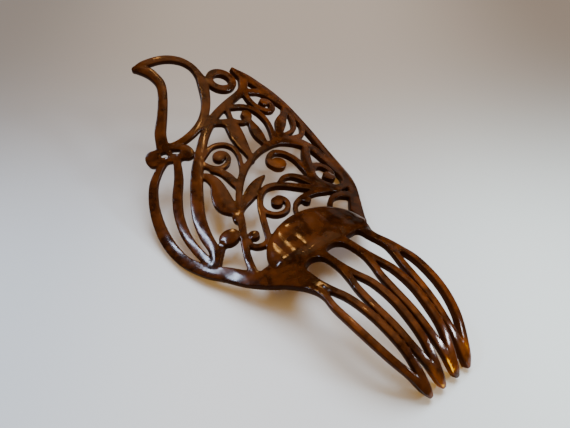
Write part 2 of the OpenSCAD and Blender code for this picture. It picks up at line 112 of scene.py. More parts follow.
# %% Stems of the vine
VINE = {
    "stem": (1, [(-34.5, 91, 4), (-31.9, 98.5, 3.6), (-29, 105.5, 3.4), (-25.4, 112.5, 3.4),
        (-21.8, 119.5, 3.6), (-18.4, 126, 3.2), (-14.3, 132.4, 3.2), (-9.9, 137.8, 3.4),
        (-5.1, 142.5, 3.5), (-0.2, 145.8, 3.1), (5.2, 148.4, 2.9), (11, 150.6, 3.1), (18, 152.2, 3.6),
        (25, 152.9, 5), (31, 151.3, 5.4), (37, 148.6, 6), (41.5, 144.6, 5.6), (43.8, 139.2, 5.6),
        (44.9, 132, 6), (44.9, 125, 6), (43.4, 118.3, 5.4), (39.8, 113.8, 4.8), (35, 111.9, 4.2),
        (29, 112, 5)]),
    "stem_2": (2, [(-20.4, 97.5, 3.2), (-17.8, 103, 3.1), (-15.3, 109, 3.1), (-12.7, 115, 3.1),
        (-9.8, 120.7, 3.1), (-6, 125.8, 3.1), (-1.4, 128.3, 3), (3.6, 127.7, 3.1), (8.5, 125, 3.3),
        (13, 121.4, 3.6), (17.5, 118, 4), (22, 115, 5), (27, 112.5, 5)]),
    "trunk": (3, [(38.5, 144.5, 4), (34.8, 140.5, 4.6), (31.4, 135.5, 5), (28.6, 130.5, 5),
        (26, 125, 4.8), (25.2, 119.5, 5.5), (27.2, 114.8, 6), (31, 111.4, 5)]),
    "arch": (0, [(7, 128, 2.4), (11, 130, 2.7), (15.2, 129.5, 3.2), (18.4, 127, 4), (20.8, 123.5, 4.8),
        (23.2, 119.3, 5.4), (26, 115, 5.5)]),
    "strut": (0, [(18.3, 101.6, 2.4), (20.6, 104.2, 2.8), (24.1, 106.5, 3), (28.6, 107, 3.6),
        (32.6, 105.9, 4.6), (36.5, 103.8, 5.4)]),
    "hook": (0.5, [(1.2, 106.5, 2), (3.6, 110.6, 2.4), (7.6, 112.8, 2.8), (12.5, 113.7, 3.2),
        (18, 113.8, 3.6), (24, 113, 4.5)]),
    "stub_1": (0, [(-20.9, 125, 2.6), (-23.6, 121.8, 2.6), (-22.8, 118.2, 2.4)]),
    "berry_arm": (0, [(-44, 106.6, 3.2), (-40.4, 109.8, 3), (-37, 113, 3.2), (-34.5, 114, 3)]),
    "top_arm": (0, [(7, 172, 2.8), (8.7, 177, 2.6), (9.8, 183, 3)]),
}
print("Stems:", len(VINE))

# %% Scrolls and curls
SCROLLS = {
    "hood": (0, [(-5.4, 142.6, 3), (-3, 147.5, 2.4), (-1.1, 152.5, 2.4), (-0.9, 157.5, 2.4),
        (-3, 161.3, 2.4), (-7, 163.4, 2.4), (-11.5, 163.5, 2.4), (-17, 161, 3)]),
    "scroll_1": (0.5, [(-20.6, 159.3, 3), (-18.2, 154.6, 2.8), (-15.6, 151.6, 2.8), (-12.3, 150.5, 2.6),
        (-8.8, 151.3, 2.6), (-6.6, 153.9, 2.6), (-6.9, 157, 2.6), (-9.2, 158.6, 2.6),
        (-11.6, 157.6, 2.8)]),
    "scroll_2": (0.5, [(-10.6, 119, 2.6), (-10, 115, 2.6), (-8, 111.8, 2.6), (-4.8, 110.2, 2.6),
        (-1.2, 110.8, 2.6), (1.3, 113.4, 2.6), (1.9, 116.8, 2.6), (0.3, 119.6, 2.6), (-2.2, 119, 2.8)]),
    "scroll_3": (0.5, [(-17.4, 101.6, 2.6), (-21.5, 100.2, 2.6), (-25, 101.4, 2.6), (-26.8, 104.5, 2.6),
        (-25.6, 107.7, 2.6), (-22.8, 108.7, 2.6)]),
    "scroll_4": (0.5, [(24, 122, 4), (25.7, 128, 3.8), (26.2, 134, 3.7), (25.4, 140, 3.3),
        (22.1, 144.7, 3), (17.3, 146.8, 3), (12.7, 145.2, 2.9), (10.7, 141.5, 3), (12.5, 138.4, 3.6)]),
    "scroll_5": (0.5, [(29, 129, 4), (32.5, 131, 3.6), (36.5, 130.8, 3.6), (39.3, 127.6, 3.4),
        (38.6, 123.7, 3.3), (36, 121.6, 3.4)]),
    "scroll_6": (0.5, [(10.5, 182.5, 3.2), (14.3, 181.3, 3), (17.9, 180.5, 3), (21.7, 178.7, 3.1),
        (24.9, 175.4, 3.2), (26.7, 170.8, 3.3), (27, 166, 3.1), (25.9, 161.2, 3.1), (24.3, 157, 3.2),
        (23, 153, 4)]),
    "curl_6": (0, [(8, 174, 2.6), (10.8, 171.6, 2.8), (14, 170.5, 2.8), (17.3, 171.6, 3)]),
    "scroll_7": (0.5, [(25.5, 190, 3.6), (31, 188.2, 3.6), (35, 187.5, 3.8), (38.5, 185.2, 3.6),
        (42, 181, 3.6), (46, 176, 4)]),
    "curl_7": (0, [(26, 188.5, 3.2), (25.9, 183, 3.3), (27.2, 178.4, 3.3), (30.1, 175, 3.3),
        (33.6, 173.5, 3.3), (36.8, 174.3, 3.2), (38, 177.1, 3), (37, 180, 2.9), (34.2, 180.8, 3.1)]),
}
print("Scrolls and curls:", len(SCROLLS))

# %% Leaves
LEAVES = {
    "strand": (0, [(-17.3, 151.8, 3), (-14.4, 148.6, 3.6), (-12.7, 144.4, 4.2), (-12.1, 140, 4.2),
        (-11.7, 135.4, 3)]),
    "leaf_left": (0, [(-20.2, 123.8, 3), (-22.2, 128.3, 7.4), (-22.9, 132.8, 9.8), (-21.6, 138, 8.8),
        (-20.2, 143, 6.4), (-20.5, 147, 5.2), (-21.9, 150, 3.8), (-24, 151.8, 1.4)]),
    "leaf_right": (0, [(-20.2, 123.6, 2.7), (-15.4, 126, 3.5), (-11.2, 128.4, 5.7), (-7.4, 130.6, 6.5),
        (-3.9, 132.8, 5.3), (-0.6, 134.5, 3.4), (2.9, 135.6, 1.3)]),
    "leaf_tall": (0, [(3.8, 147.5, 3), (4.2, 152.3, 4), (4.5, 158, 6.4), (5.1, 164, 8), (5.8, 168.8, 7.8),
        (5.5, 172.2, 6.2), (3, 174.4, 4), (-1.5, 176.2, 3.4)]),
    "pod": (0, [(17, 172, 2.4), (17.2, 168, 3.8), (16.9, 164.5, 5.6), (16.6, 160.5, 6), (16.6, 157, 4.6),
        (16.8, 152.6, 2.8)]),
    "flame": (0, [(25, 154.6, 3.4), (31, 159.6, 4.6), (35.2, 164.1, 6.4), (38.8, 167, 5.2),
        (42.6, 169.7, 4), (46.5, 173.5, 4)]),
    "sickle_1": (0, [(28, 154.6, 3), (34.8, 156.3, 2.5), (38.9, 157.4, 2.8), (42.6, 160.2, 2.9),
        (45.3, 164.8, 3.2), (47.5, 170.5, 3.5)]),
    "sickle_2": (0.5, [(28, 152.6, 3), (36, 152.3, 3.4), (41.5, 152.9, 3.2), (45.8, 155.6, 2.8),
        (50, 161, 3)]),
}
print("Leaves:", len(LEAVES))

# %% [markdown]
# ## Teeth
# Every tooth is a hairpin fork: two thin bars that start together at the tip, part, and meet again
# below the heel. One table therefore serves all four teeth. Its rows give the height along the
# tooth, then the middle and the half spread of the two inner teeth, the same for the two outer
# teeth, the width of a bar, and how far the whole tooth leans to the side there. A gap between
# teeth is closed above by a round arch.

# %% Teeth
TOOTH_PITCH = 13.0
TOOTH_ROWS = [(0.4, 3.8, 0.4, 10.7, 0.4, 1.6, 0), (4, 4, 0.8, 11.5, 0.9, 2.9, 0),
    (11, 4.4, 1.6, 12.8, 1.8, 3.2, 0), (20, 5, 2.9, 14.7, 3.3, 3.1, -0.1),
    (30, 5.4, 3.5, 16.4, 4, 3.1, -0.3), (40, 5.8, 4, 17.6, 4.1, 3.1, -0.5),
    (50, 6.1, 3.4, 18.7, 3.5, 3, -0.7), (57, 6.4, 1.8, 19.3, 2, 2.9, -0.9),
    (64, 6.5, 0.7, 19.5, 0.8, 2.6, -0.9), (71.5, 6.5, 0.4, 19.5, 0.5, 2.6, -0.8)]
GAP_TOP = [(-6.3, 76.6, 2.8), (-3.9, 79.6, 2.8), (-0.7, 80.6, 2.8), (2.4, 79.6, 2.8), (4.8, 76.6, 2.8)]
GAP_LIFT = {-1: -1, 0: 0.7, 1: 3}
OUTER_LENGTH = 60


def tooth_bar(tooth, side):
    """One bar of a tooth from tip to heel. The teeth are -1.5, -0.5, 0.5 and 1.5 pitches across."""
    sign = 1 if tooth > 0 else -1
    rows = []
    for along, inner, inner_half, outer, outer_half, width, lean in TOOTH_ROWS:
        middle, half = (outer, outer_half) if abs(tooth) > 1 else (inner, inner_half)
        rows.append((sign * middle + side * half + lean, along, width))
    return rows


def gap_bars(gap):
    """The two bars beside one gap, and the arch that joins them."""
    arch = [(gap * TOOTH_PITCH + x, y + GAP_LIFT[gap], width) for x, y, width in GAP_TOP]
    return tooth_bar(gap - 0.5, 1) + arch + tooth_bar(gap + 0.5, -1)[::-1]


def outer_bar(side, joins):
    """The outermost bar of the comb's teeth, up to where it runs into the rim."""
    return [row for row in tooth_bar(1.5 * side, side) if row[1] < OUTER_LENGTH] + joins


TEETH = {f"gap_{gap + 2}": (1 + abs(gap), gap_bars(gap)) for gap in GAP_LIFT}
TEETH["outer_left"] = (3, outer_bar(-1, [(-22.9, 63, 3.4), (-24.9, 70, 4.6)]))
TEETH["outer_right"] = (3, outer_bar(1, [(19.4, 64, 3), (18.1, 71, 3.2)]))
print("Bars in the teeth:", len(TEETH))

# %% [markdown]
# ## Smooth lines
# A Catmull-Rom curve passes through each drawn point and leaves it in the direction of its two
# neighbours, so a bar flows through its few points with no corner. The width is carried along as
# a third coordinate, which makes it swell and taper just as smoothly.

# %% Smooth lines
LINE_STEPS = 5


def smooth(rows, steps=LINE_STEPS):
    """A smooth line through the rows, as an array of across, along and width."""
    p = np.array(rows, float)
    p = np.vstack([2 * p[0] - p[1], p, 2 * p[-1] - p[-2]])
    t = np.linspace(0, 1, steps, endpoint=False)[:, None]
    spans = []
    for a, b, c, d in zip(p, p[1:], p[2:], p[3:]):
        spans.append((2 * b + (c - a) * t + (2 * a - 5 * b + 4 * c - d) * t ** 2
                      + (3 * b - a - 3 * c + d) * t ** 3) / 2)
    return np.vstack(spans + [p[-2:-1]])


LINES = [(smooth(rows), step * STEP)
         for group in (TEETH, BANDS, VINE, SCROLLS, LEAVES) for step, rows in group.values()]

# the small ring beside the loop is a true oval: its middle, its bar's width, its radii and its turn
RING_MIDDLE, RING_BAR, RING_RADII, RING_TURN = (16.9, 199.3), 4.2, (6.7, 5.6), math.radians(-22)
around = np.linspace(0, 2 * math.pi, 49)
ring_x, ring_y = RING_RADII[0] * np.cos(around), RING_RADII[1] * np.sin(around)
LINES.append((np.stack([RING_MIDDLE[0] + ring_x * math.cos(RING_TURN) - ring_y * math.sin(RING_TURN),
                        RING_MIDDLE[1] + ring_x * math.sin(RING_TURN) + ring_y * math.cos(RING_TURN),
                        np.full(len(around), RING_BAR)], -1), 3 * STEP))
print("Bars in the comb:", len(LINES))

# %% [markdown]
# ## Pads and the fan's place
# The scrolls end in round eyes, the berry and the bow are round too, and the heel carries a fan:
# half of a wide oval above its middle line, and half of a flat one below. A pad's row holds its
# centre across and along, and its two radii.

# %% Pads and the fan's place
PADS = [(-10.7, 156.6, 3.2, 3), (-2.4, 117.4, 2.9, 3), (-22.5, 107.2, 2.5, 2.3), (14.6, 139.2, 4.3, 3.9),
    (34.6, 121.4, 3.4, 3.4), (17.6, 174, 2.9, 3.2), (33.8, 179.6, 2.7, 2.4), (10.6, 110.6, 2.2, 2.1),
    (-32, 114.1, 5, 4.3), (-39, 172.6, 4, 4.4), (-23, 166.8, 3.4, 3.7), (-22.9, 120.6, 2.2, 2.4)]
PAD_STEP = 3 * STEP
FAN_MIDDLE = (-0.6, 86.0)
FAN_HALF, FAN_UP, FAN_DOWN = 27.0, 19.8, 6.0
print("Pads:", len(PADS))

# %% [markdown]
# ## One moulded field
# Bars that were swept one by one would cross like spaghetti. In a moulding they run together with
# a small fillet. A depth field does that: for a point of the sheet, each bar answers how deep
# inside it the point lies, and the answers are blended so that the deepest one wins and near
# equals melt together. Where the blended depth is zero is the outline of the whole comb.

# %% One moulded field
FILLET = 0.32  # how softly two bars melt together, in mm
FAR = -4.0  # no bar pulls from further outside than this
NEARBY = 6.0  # a bar is only asked about points this near to its box


def bar_depth(points, line):
    """Depth of each point inside one bar, and the bar's half width there."""
    a, b = line[:-1], line[1:]
    run = b[:, :2] - a[:, :2]
    rel = points[:, None, :] - a[None, :, :2]
    t = np.clip((rel * run).sum(2) / (run ** 2).sum(1), 0, 1)
    gap = np.hypot(rel[:, :, 0] - t * run[:, 0], rel[:, :, 1] - t * run[:, 1])
    half = (a[:, 2] + t * (b[:, 2] - a[:, 2])) / 2
    best = (half - gap).argmax(1)
    rows = np.arange(len(points))
    return (half - gap)[rows, best], half[rows, best]


def oval_depth(points, middle, across, up, down):
    """Depth of each point inside an oval whose upper and lower halves differ."""
    x = points[:, 0] - middle[0]
    y = points[:, 1] - middle[1]
    reach = np.where(y > 0, up, down)
    r = np.hypot(x / across, y / reach) + 1e-6
    slope = np.hypot(x / across ** 2, y / reach ** 2) / r
    return np.minimum((1 - r) / slope, min(across, up, down))


def comb_field(points):
    """Depth in the fused comb, with the half width and the step of what lies there."""
    weight, half_sum, step_sum = (np.zeros(len(points)) for _ in range(3))

    def blend(where, depth, half, step):
        share = np.exp(np.maximum(depth, FAR) / FILLET)
        weight[where] += share
        half_sum[where] += share * half
        step_sum[where] += share * step

    for line, step in LINES:
        low, high = line[:, :2].min(0) - NEARBY, line[:, :2].max(0) + NEARBY
        where = np.flatnonzero(((points > low) & (points < high)).all(1))
        if len(where):
            blend(where, *bar_depth(points[where], line), step)
    for x, y, across, along in PADS:
        where = np.flatnonzero(np.hypot(points[:, 0] - x, points[:, 1] - y) < across + along)
        depth = oval_depth(points[where], (x, y), across, along, along)
        blend(where, depth, min(across, along), PAD_STEP)
    x, y = FAN_MIDDLE
    where = np.flatnonzero(np.hypot(points[:, 0] - x, points[:, 1] - y) < FAN_HALF + NEARBY)
    blend(where, oval_depth(points[where], FAN_MIDDLE, FAN_HALF, FAN_UP, FAN_DOWN), FAN_DOWN / 2, 0.0)
    safe = np.maximum(weight, 1e-9)
    return FILLET * np.log(safe), half_sum / safe, step_sum / safe


GRID = 0.4
ACROSS_RANGE, ALONG_RANGE = (-62, 60), (-4, 230)
grid_x = np.arange(*ACROSS_RANGE, GRID)
grid_y = np.arange(*ALONG_RANGE, GRID)
grid_points = np.stack(np.meshgrid(grid_x, grid_y), -1).reshape(-1, 2)
grid_depth = comb_field(grid_points)[0].reshape(len(grid_y), len(grid_x))
print("Solid share of the sheet:", round(float((grid_depth > 0).mean()), 3))

# %% [markdown]
# ## The outline and its rings
# Marching squares walks through the grid and cuts each square that the outline crosses. The cuts
# are chained into closed loops and spaced evenly. More loops a little further in follow every bar
# like contour lines on a map. They hold the rounded shoulder of the moulding, where the light
# catches, far better than a square grid could.

# %% The outline and its rings
# the depth of each set of loops and the spacing of its points, from the outline inwards
RINGS = [(0.0, 0.6), (0.07, 0.65), (0.2, 0.65), (0.4, 0.7), (0.75, 0.8)]
SHORTEST_LOOP = 3.0
FEWEST_POINTS = 6


def crossings(level):
    """Pairs of cuts, keyed by grid edge, where the depth crosses a level."""
    inside = grid_depth > level
    corners = inside[:-1, :-1] * 1 + inside[:-1, 1:] * 2 + inside[1:, 1:] * 4 + inside[1:, :-1] * 8
    pairs = []
    for i, j in zip(*np.nonzero((corners > 0) & (corners < 15))):
        edges = [(0, i, j), (1, i, j + 1), (0, i + 1, j), (1, i, j)]
        flags = [inside[i, j], inside[i, j + 1], inside[i + 1, j + 1], inside[i + 1, j]]
        cut = [edges[k] for k in range(4) if flags[k] != flags[(k + 1) % 4]]
        if len(cut) == 2:
            pairs.append(cut)
        elif (grid_depth[i:i + 2, j:j + 2].mean() > level) == flags[0]:
            pairs += [[cut[0], cut[1]], [cut[2], cut[3]]]
        else:
            pairs += [[cut[3], cut[0]], [cut[1], cut[2]]]
    return pairs


def place_of(edge, level):
    """Where the level is met on one grid edge."""
    kind, i, j = edge
    i2, j2 = (i, j + 1) if kind == 0 else (i + 1, j)
    a, b = grid_depth[i, j], grid_depth[i2, j2]
    t = (level - a) / (b - a)
    return (grid_x[j] + t * (grid_x[j2] - grid_x[j]), grid_y[i] + t * (grid_y[i2] - grid_y[i]))


def loops_at(level, spacing):
    """Closed, evenly spaced loops of points on one level."""
    beside = {}
    for a, b in crossings(level):
        beside.setdefault(a, []).append(b)
        beside.setdefault(b, []).append(a)
    loops = []
    while beside:
        start = here = next(iter(beside))
        chain = []
        while here in beside:
            chain.append(here)
            nexts = [edge for edge in beside.pop(here) if edge in beside]
            here = nexts[0] if nexts else start
        line = np.array([place_of(edge, level) for edge in chain] + [place_of(chain[0], level)])
        along = np.concatenate([[0], np.cumsum(np.hypot(*np.diff(line, axis=0).T))])
        if along[-1] < SHORTEST_LOOP:
            continue
        at = np.linspace(0, along[-1], max(FEWEST_POINTS, round(along[-1] / spacing)), endpoint=False)
        loops.append(np.stack([np.interp(at, along, line[:, k]) for k in (0, 1)], -1))
    return loops


outline = loops_at(*RINGS[0])
rings = [loop for ring in RINGS[1:] for loop in loops_at(*ring)]
print("Outline loops:", len(outline), "with", sum(map(len, outline)), "points")

# %% [markdown]
# ## The flat net
# A Delaunay triangulation ties the loops and a loose field of inner points into one net, with the
# outline kept as fixed edges. Every hole of the openwork is filled too at first. The net then
# falls into islands along the outline, and an island stays if it lies inside the comb.

# %% Inner points and islands
INNER_DEPTH = 1.25
INNER_SPACING = 1.0
ROW_SPACING = INNER_SPACING * 0.87
INNER_ACROSS, INNER_ALONG = (-60, 58), (0, 226)


def inner_points():
    """A staggered field of points well inside the wide parts."""
    rows = []
    for k, y in enumerate(np.arange(*INNER_ALONG, ROW_SPACING)):
        x = np.arange(*INNER_ACROSS, INNER_SPACING) + (k % 2) * INNER_SPACING / 2
        rows.append(np.stack([x, np.full(len(x), y)], -1))
    points = np.vstack(rows)
    return points[comb_field(points)[0] > INNER_DEPTH]


def islands(faces, walls):
    """Number the triangles by the island that they belong to, with the walls as borders."""
    beside = {}
    for n, face in enumerate(faces):
        for k in range(3):
            edge = tuple(sorted((face[k], face[(k + 1) % 3])))
            if edge not in walls:
                beside.setdefault(edge, []).append(n)
    joined = [[] for _ in faces]
    for pair in beside.values():
        if len(pair) == 2:
            joined[pair[0]].append(pair[1])
            joined[pair[1]].append(pair[0])
    number = [-1] * len(faces)
    count = 0
    for first in range(len(faces)):
        if number[first] >= 0:
            continue
        number[first] = count
        stack = [first]
        while stack:
            for other in joined[stack.pop()]:
                if number[other] < 0:
                    number[other] = count
                    stack.append(other)
        count += 1
    return np.array(number), count


inside = inner_points()
print("Inner points:", len(inside))

# %% The flat net
SAME_POINT = 1e-6
fixed = []
start = 0
for loop in outline:
    fixed += [(start + k, start + (k + 1) % len(loop)) for k in range(len(loop))]
    start += len(loop)
seed_points = np.vstack(outline + rings + [inside])
verts, edges, faces, _, from_edges, _ = delaunay_2d_cdt(
    [Vector(p) for p in seed_points], fixed, [], 0, SAME_POINT, True)
flat = np.array([v[:] for v in verts])
walls = {tuple(sorted(edge)) for edge, source in zip(edges, from_edges) if source}
faces = np.array(faces)
depth, half, step = comb_field(flat)
number, count = islands(faces.tolist(), walls)
middle_depth = comb_field(flat[faces].mean(1))[0]
a, b, c = (flat[faces[:, k]] for k in range(3))
(ab_x, ab_y), (ac_x, ac_y) = (b - a).T, (c - a).T
area = 0.5 * np.abs(ab_x * ac_y - ab_y * ac_x)
score = np.bincount(number, np.sign(middle_depth) * area, count)
faces = faces[score[number] > 0]
print("Triangles on the face:", len(faces), "in a net of", len(flat), "points")

# %% [markdown]
# ## Height
# A bar's face is nearly flat, with a slight crown, and a small rounded shoulder drops to the wall.
# On the real comb only such flat faces mirror a whole window, and the shoulders show as hair
# lines. The back is flat, with only its edge eased, as it comes from the mould.

# %% Height
SHEET = 3.0
SHOULDER, DROP = 0.5, 0.38  # how far the rounded shoulder reaches in, and how far it falls
SHOULDER_ARC = 0.995  # a hair under 1, so the shoulder never stands quite upright at the wall
CROWN = 0.07  # rise of the face, for each mm of half width
BACK_EASE = 0.35
THINNEST = 0.2  # bars never count as thinner than this, to divide safely
# the strip named below is where painted shade darkens the colours beside each edge
EDGE_SHADE = 1.0  # width of the strip beside an edge that the colours will darken


def face_height(depth, half, step):
    """Height of the face above the sheet's zero plane."""
    round_to = np.minimum(half, SHOULDER)
    across = 1 - np.clip(depth / np.maximum(round_to, THINNEST), 0, 1)
    shoulder = DROP * (np.sqrt(1 - across ** 2 * SHOULDER_ARC) - 1)
    middle = 1 - np.clip(depth / np.maximum(half, THINNEST), 0, 1)
    return step + shoulder + CROWN * (half - SHOULDER) * (1 - middle ** 2)


def back_height(depth):
    """Height of the back, with its edge eased."""
    return -SHEET + BACK_EASE * (1 - np.clip(depth / BACK_EASE, 0, 1)) ** 2


on_wall = np.zeros(len(flat), bool)
on_wall[list({n for edge in walls for n in edge})] = True
depth[on_wall] = 0
top = np.column_stack([flat, face_height(depth, half, step)])
back = np.column_stack([flat, back_height(depth)])
print("Face from", top[:, 2].min().round(2), "to", top[:, 2].max().round(2), "mm")

# %% [markdown]
# ## The bend
# The warm sheet is laid over a form. Across, it takes one round bend. Along, its middle line is a
# chain of arcs: steep at the tooth tips, hollow at the heel, and rising again to the loop. Each
# row gives a place along the drawing and the slope of the sheet there in degrees. Two small tilts
# then set the comb down on its tooth tips and both edges of the crest.

# %% The bend
SLOPES = [(0, 53.5), (20, 28.5), (40, 6.5), (60, -7.4), (78, -20.1), (100, 4.1), (120, 0.9), (150, 16.8),
    (225, 29.3)]
BEND_RADIUS = 123.0
LIE_ROLL, LIE_PITCH = math.radians(1.79), math.radians(-0.39)

knot, slope = np.array(SLOPES, float).T
slope = np.radians(slope)
turn = np.diff(slope) / np.diff(knot)


def arc_step(k, s):
    """Step along and up from the start of arc k to the place s on it."""
    t = slope[k] + turn[k] * (s - knot[k])
    return np.stack([np.sin(t) - np.sin(slope[k]), np.cos(slope[k]) - np.cos(t)], -1) / turn[k][..., None]


knot_at = np.vstack([[0, 0], np.cumsum([arc_step(np.array(k), knot[k + 1]) for k in range(len(turn))], 0)])


def bend(points):
    """Bend and lay down points given as across, along and height, in mm."""
    u, s, w = points.T
    k = np.clip(np.searchsorted(knot, s, side="right") - 1, 0, len(turn) - 1)
    line = knot_at[k] + arc_step(k, s)
    t = slope[k] + turn[k] * (s - knot[k])
    a = u / BEND_RADIUS
    fall = BEND_RADIUS - (BEND_RADIUS + w) * np.cos(a)
    x = (BEND_RADIUS + w) * np.sin(a)
    y, z = line[:, 0] + np.sin(t) * fall, line[:, 1] - np.cos(t) * fall
    x, z = (math.cos(LIE_ROLL) * x + math.sin(LIE_ROLL) * z,
            math.cos(LIE_ROLL) * z - math.sin(LIE_ROLL) * x)
    y, z = (math.cos(LIE_PITCH) * y - math.sin(LIE_PITCH) * z,
            math.sin(LIE_PITCH) * y + math.cos(LIE_PITCH) * z)
    return np.stack([x, y, z], -1)


bent = np.vstack([bend(top), bend(back)])
low, high = bent.min(0), bent.max(0)
ORIGIN = (low + high) / 2 - (cad_low + cad_high) / 2 / MM
ORIGIN[2] = low[2] - cad_low[2] / MM
print("Bent comb, mm:", (high - low).round(1), "moved by", ORIGIN.round(2))

# %% [markdown]
# ## The comb as one closed mesh
# The face, the back turned over, and a wall along every outline edge close the mesh. A wall's
# quad runs along the outline with the comb on its left, which makes it face outwards. The flat
# place of each point is kept as an attribute, so that the colours can follow the sheet.

# %% The comb as one closed mesh


def make_piece(name, points, polygons, sheet_points, rim):
    """A smooth shaded object, with the flat place and the rim share kept on its points."""
    mesh = bpy.data.meshes.new(name)
    mesh.from_pydata((points * MM).tolist(), [], polygons)
    mesh.validate()
    mesh.shade_smooth()
    mesh.attributes.new("sheet", "FLOAT_VECTOR", "POINT").data.foreach_set(
        "vector", sheet_points.astype(np.float32).ravel())
    mesh.attributes.new("rim", "FLOAT", "POINT").data.foreach_set("value", rim.astype(np.float32))
    obj = bpy.data.objects.new(name, mesh)
    bpy.context.scene.collection.objects.link(obj)
    return obj


def wall_quads(faces, walls, count):
    """A quad down every wall edge, facing away from the comb."""
    quads = []
    for face in faces:
        for k in range(3):
            p, q = face[k], face[(k + 1) % 3]
            if (min(p, q), max(p, q)) in walls:
                quads.append((p + count, q + count, q, p))
    return quads


used = np.unique(faces)
renumber = np.full(len(flat), -1)
renumber[used] = np.arange(len(used))
face_list = renumber[faces].tolist()
wall_set = {tuple(sorted((int(renumber[p]), int(renumber[q])))) for p, q in walls}
back_list = [[n + len(used) for n in face[::-1]] for face in face_list]
sheet_points = np.vstack([top[used], back[used]])
rim = np.concatenate([1 - np.clip(depth[used] / EDGE_SHADE, 0, 1), np.ones(len(used))])
comb = make_piece("comb_shell", bend(sheet_points) - ORIGIN,
                  face_list + back_list + wall_quads(face_list, wall_set, len(used)), sheet_points, rim)
print("Comb polygons:", len(comb.data.polygons))

# %% [markdown]
# ## The fluted fan
# The fan on the heel follows a rule, so Geometry Nodes make it. A square grid from -1 to 1 is read
# as an angle across and a share up. The angle's cosine closes both ends of the fan to a point, the
# share runs from the lower edge to the upper one, and a row of round ribs with sharp valleys is
# taken off the dome. A second grid, turned over and set a little lower, closes it underneath.

# %% A helper for nodes


def node(tree, kind, links=None, **settings):
    """Add one node, with its settings and with values or links for its inputs."""
    made = tree.nodes.new(kind)
    for key, value in settings.items():
        setattr(made, key, value)
    for key, value in (links or {}).items():
        if isinstance(value, bpy.types.NodeSocket):
            tree.links.new(value, made.inputs[key])
        else:
            made.inputs[key].default_value = value
    return made


# %% The fan's tree
FAN_SIZES = {"Half width": FAN_HALF, "Reach up": FAN_UP, "Reach down": FAN_DOWN, "Rise": 2.6,
             "Flute depth": 0.36, "Flutes": 6.0, "Edge": 0.8, "Seat": STEP}
FAN_GRID = (225, 57)
FAN_SEAM = 0.01

# Each row names a result, then the sum and what goes into it: numbers, sizes or earlier results.
FAN_SUMS = [
    ("angle", "MULTIPLY", "grid x", math.pi / 2),
    ("share", "SINE", "angle"),
    ("side", "COSINE", "angle"),
    ("across", "MULTIPLY", "share", "Half width"),
    ("reach", "ADD", "Reach up", "Reach down"),
    ("part way", "MULTIPLY_ADD", "grid y", 0.5, 0.5),
    ("climb", "MULTIPLY", "part way", "reach"),
    ("up", "SUBTRACT", "climb", "Reach down"),
    ("along", "MULTIPLY", "up", "side"),
    # the dome: a crisp shoulder at the top, a soft foot towards the teeth
    ("quartic", "POWER", "grid y", 4),
    ("room", "SUBTRACT", 1, "quartic"),
    ("softness", "MULTIPLY_ADD", "grid y", -0.35, 0.85),
    ("dome", "POWER", "room", "softness"),
    ("swell", "MULTIPLY", "dome", "side"),
    # the flutes: half waves side by side, so the valleys between them are sharp
    ("half waves", "MULTIPLY", "share", "Flutes"),
    ("phase", "MULTIPLY", "half waves", math.pi / 2),
    ("wave", "SINE", "phase"),
    ("rib", "ABSOLUTE", "wave"),
    ("valley", "SUBTRACT", 1, "rib"),
    ("cut", "MULTIPLY", "valley", "Flute depth"),
    ("crown", "SUBTRACT", "Rise", "cut"),
    ("raised", "MULTIPLY", "crown", "swell"),
    # the rim, which bends down into the sheet
    ("rest", "SUBTRACT", 1, "swell"),
    ("fall", "POWER", "rest", 4),
    ("dip", "MULTIPLY", "fall", "Edge"),
    ("face", "SUBTRACT", "raised", "dip"),
    ("top", "ADD", "face", "Seat"),
    ("sunk", "MULTIPLY_ADD", "swell", -0.3, "Seat"),
    ("underside", "SUBTRACT", "sunk", "Edge"),
]


def fan_tree(material):
    """Geometry Nodes for a fan of flutes on the flat sheet, in mm."""
    tree = bpy.data.node_groups.new("Fluted fan", "GeometryNodeTree")
    for name, size in FAN_SIZES.items():
        tree.interface.new_socket(name, in_out="INPUT", socket_type="NodeSocketFloat").default_value = size
    tree.interface.new_socket("Fan", in_out="OUTPUT", socket_type="NodeSocketGeometry")
    grid = node(tree, "GeometryNodeMeshGrid", {
        "Size X": 2, "Size Y": 2, "Vertices X": FAN_GRID[0], "Vertices Y": FAN_GRID[1]})
    place = node(tree, "ShaderNodeSeparateXYZ", {0: node(tree, "GeometryNodeInputPosition").outputs[0]})
    given = node(tree, "NodeGroupInput").outputs
    found = {name: given[name] for name in FAN_SIZES}
    found.update({"grid x": place.outputs["X"], "grid y": place.outputs["Y"]})
    for name, operation, *values in FAN_SUMS:
        inputs = {k: found.get(value, value) for k, value in enumerate(values)}
        found[name] = node(tree, "ShaderNodeMath", inputs, operation=operation).outputs[0]
    sides = []
    for height in ("top", "underside"):
        spot = node(tree, "ShaderNodeCombineXYZ", {
            "X": found["across"], "Y": found["along"], "Z": found[height]}).outputs[0]
        sides.append(node(tree, "GeometryNodeSetPosition", {
            "Geometry": grid.outputs["Mesh"], "Position": spot}).outputs[0])
    under = node(tree, "GeometryNodeFlipFaces", {"Mesh": sides[1]}).outputs[0]
    join = node(tree, "GeometryNodeJoinGeometry")
    for part in (sides[0], under):
        tree.links.new(part, join.inputs[0])
    closed = node(tree, "GeometryNodeMergeByDistance", {
        "Geometry": join.outputs[0], "Distance": FAN_SEAM}).outputs[0]
    real = node(tree, "GeometryNodeRealizeInstances", {"Geometry": closed}).outputs[0]
    done = node(tree, "GeometryNodeSetMaterial", {"Geometry": real, "Material": material}).outputs[0]
    node(tree, "NodeGroupOutput", {"Fan": done})
    return tree


print("Sums that shape the fan:", len(FAN_SUMS))
